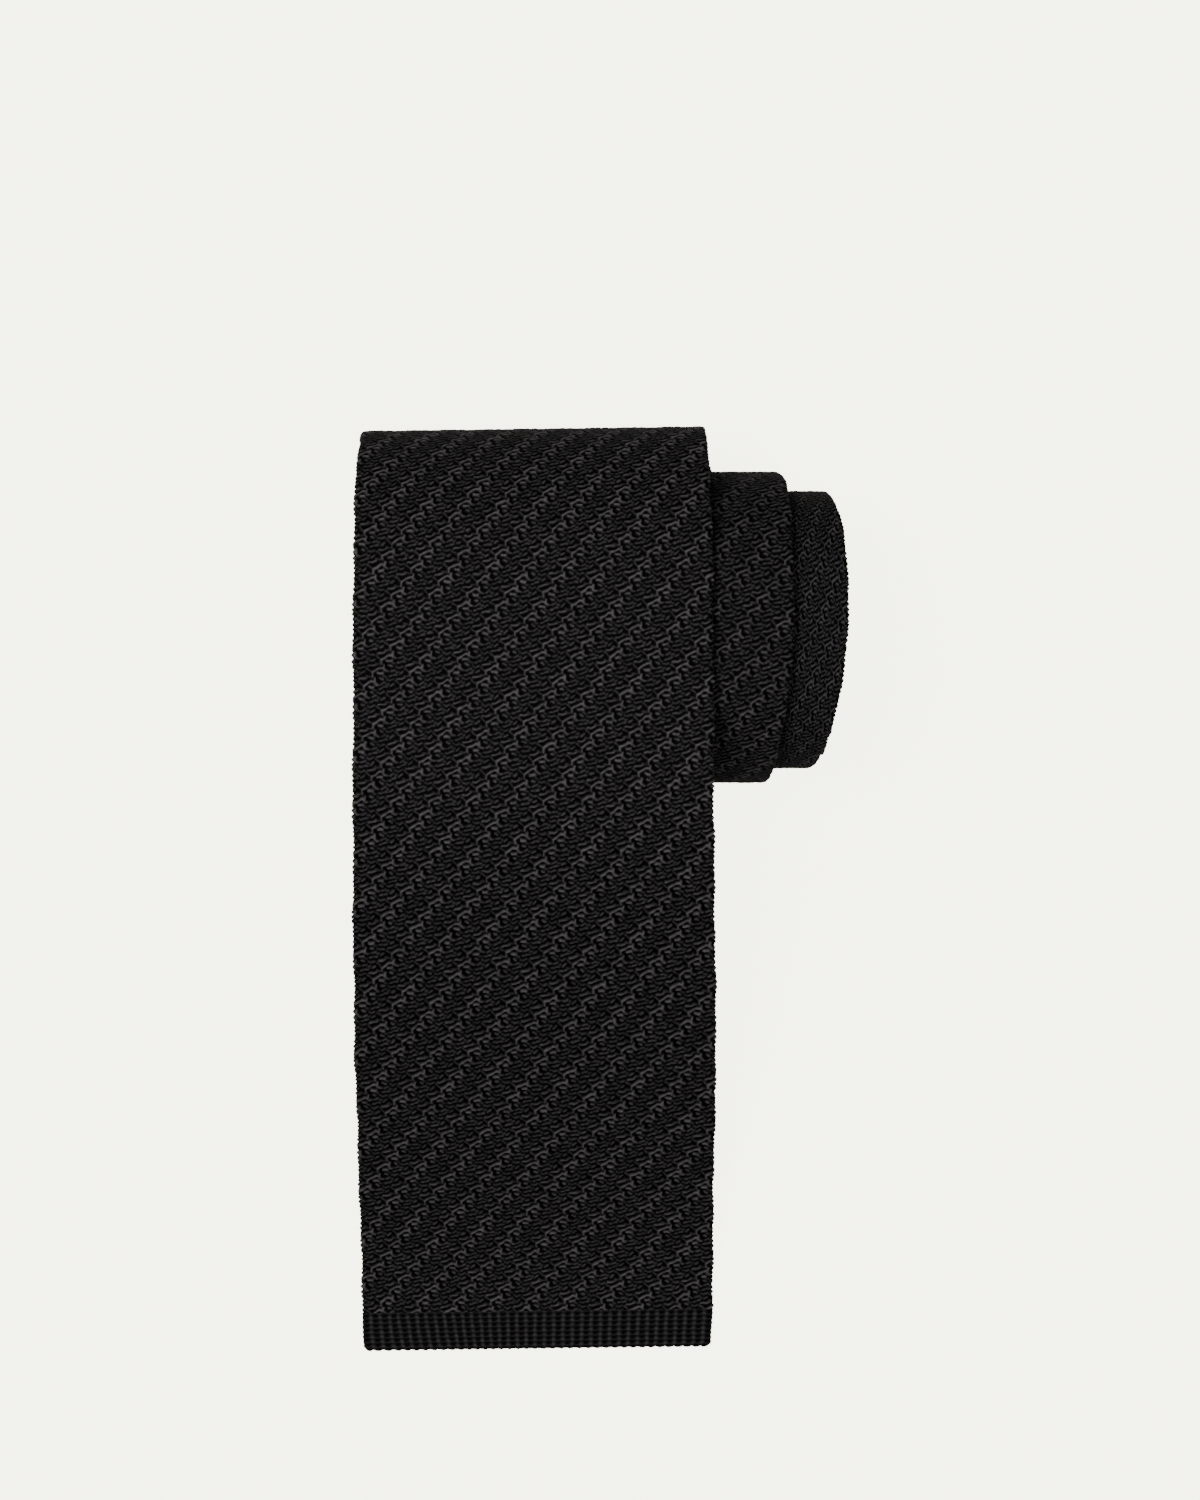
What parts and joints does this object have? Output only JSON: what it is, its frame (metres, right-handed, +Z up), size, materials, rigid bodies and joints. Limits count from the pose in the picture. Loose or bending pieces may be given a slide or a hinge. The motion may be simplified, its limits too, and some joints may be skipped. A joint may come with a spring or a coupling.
{
  "type": "knitted necktie",
  "caption": "Square-ended knitted silk necktie, rolled from its tail with the blade draped in front, keeper loop and blank labels on its back.",
  "frame": {"origin": "middle of the flat patch under the roll, on the surface that the tie lies on", "axes": "+Z up off the surface; +Y along the cloth, away from the blade's tip, towards the roll's far side; +X across the cloth, to the side the inner turns have slipped out to"},
  "size_m": [0.11, 0.2097, 0.0551],
  "materials": {
    "knit_silk": "black knitted silk with a raised diagonal rib, soft low sheen",
    "loop_knit": "black knitted silk, plain fine rib",
    "hem_rib": "black knitted silk, plain upright rib with a bound-off edge",
    "seam_thread": "black twisted silk sewing thread",
    "stay_tape": "black woven tape, matt",
    "tack_thread": "black satin-stitched thread bars",
    "label_satin": "blank charcoal woven damask label",
    "care_satin": "blank off-white satin ribbon label"
  },
  "bodies": {
    "roll": {"outer_turn": "knit_silk", "second_turn": "knit_silk", "neck_taper": "knit_silk", "neck_coil": "knit_silk", "tail_coil": "knit_silk", "tail_hem_band": "hem_rib", "roll_back_seam": "seam_thread", "tail_back_seam": "seam_thread", "neck_stay_tape": "stay_tape"},
    "wrap": {"wrap_front": "knit_silk", "wrap_back_seam": "seam_thread", "keeper_loop": "loop_knit", "keeper_tack_left": "tack_thread", "keeper_tack_right": "tack_thread", "maker_label": "label_satin", "label_stitch_left": "tack_thread", "label_stitch_right": "tack_thread", "care_label": "care_satin", "care_stitch": "tack_thread"},
    "blade": {"blade_upper": "knit_silk", "blade_back_seam": "seam_thread"},
    "blade_tip": {"blade_lower": "knit_silk", "tip_back_seam": "seam_thread", "front_hem_band": "hem_rib"}
  },
  "joints": [
    {"name": "wrap_open", "type": "hinge", "parent": "roll", "child": "wrap", "pos_m": [0, 0.04456, 0.02675], "axis": [-1, 0, 0], "range_deg": [0, 90]},
    {"name": "blade_lift", "type": "hinge", "parent": "wrap", "child": "blade", "pos_m": [0, -0.0115, 0.05513], "axis": [-1, 0, 0], "range_deg": [0, 75]},
    {"name": "blade_curl", "type": "hinge", "parent": "blade", "child": "blade_tip", "pos_m": [0, -0.07784, 0.03728], "axis": [-1, 0, 0], "range_deg": [0, 75]}
  ]
}
